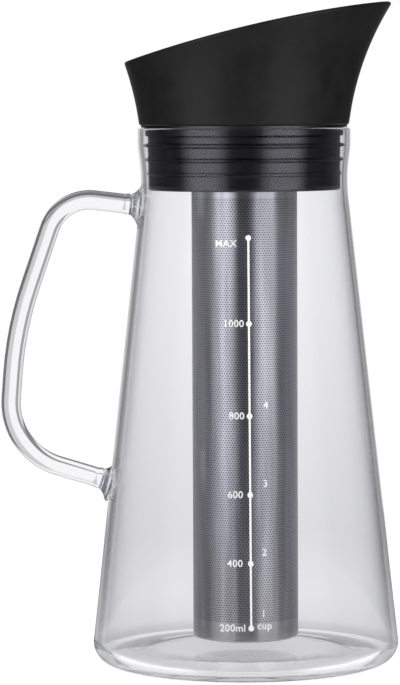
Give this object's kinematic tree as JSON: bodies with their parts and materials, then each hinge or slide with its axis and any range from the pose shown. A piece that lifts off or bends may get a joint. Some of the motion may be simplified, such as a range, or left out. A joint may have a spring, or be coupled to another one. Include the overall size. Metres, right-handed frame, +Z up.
{
  "type": "cold brew coffee maker",
  "caption": "Conical glass jug with a fused glass handle, a black pouring lid with a tilting flap, and a tubular steel mesh filter hung from the lid.",
  "frame": {"origin": "centre of the ring that the jug stands on, on the jug's axis", "axes": "+Z up along the jug's axis, +X towards the pouring side, handle at -X, printed scale facing -Y"},
  "size_m": [0.1506, 0.1162, 0.2497],
  "materials": {
    "jug_glass": "clear, fire polished",
    "white_enamel": "fired-on white ink",
    "black_collar": "matte, fine grain",
    "black_plug": "semi-gloss moulding",
    "black_silicone": "satin silicone",
    "plain_steel": "turned, satin",
    "brushed_disc": "circular brushed",
    "etched_mesh": "etched hole pattern"
  },
  "bodies": {
    "carafe": {"glass_body": "jug_glass", "glass_handle": "jug_glass", "scale_print": "white_enamel"},
    "lid": {"pour_collar": "black_collar", "plug_core": "black_plug", "neck_seal": "black_silicone", "strainer_plate": "black_plug", "pivot_pin": "plain_steel"},
    "flap": {"flap_disc": "brushed_disc", "flap_seal": "black_silicone", "flap_carrier": "black_plug", "flap_weight": "plain_steel"},
    "filter": {"filter_mesh": "etched_mesh", "filter_top_ring": "black_plug", "filter_ring_gasket": "black_silicone", "filter_base_cap": "plain_steel"}
  },
  "joints": [
    {"name": "lid_lift", "type": "slide", "parent": "carafe", "child": "lid", "axis": [0, 0, 1], "range_m": [0, 0.2]},
    {"name": "flap_tilt", "type": "hinge", "parent": "lid", "child": "flap", "pos_m": [-0.009, 0, 0.2], "axis": [0, -1, 0], "range_deg": [0, 45]},
    {"name": "filter_release", "type": "slide", "parent": "lid", "child": "filter", "axis": [0, 0, 1], "range_m": [-0.004, 0]}
  ]
}
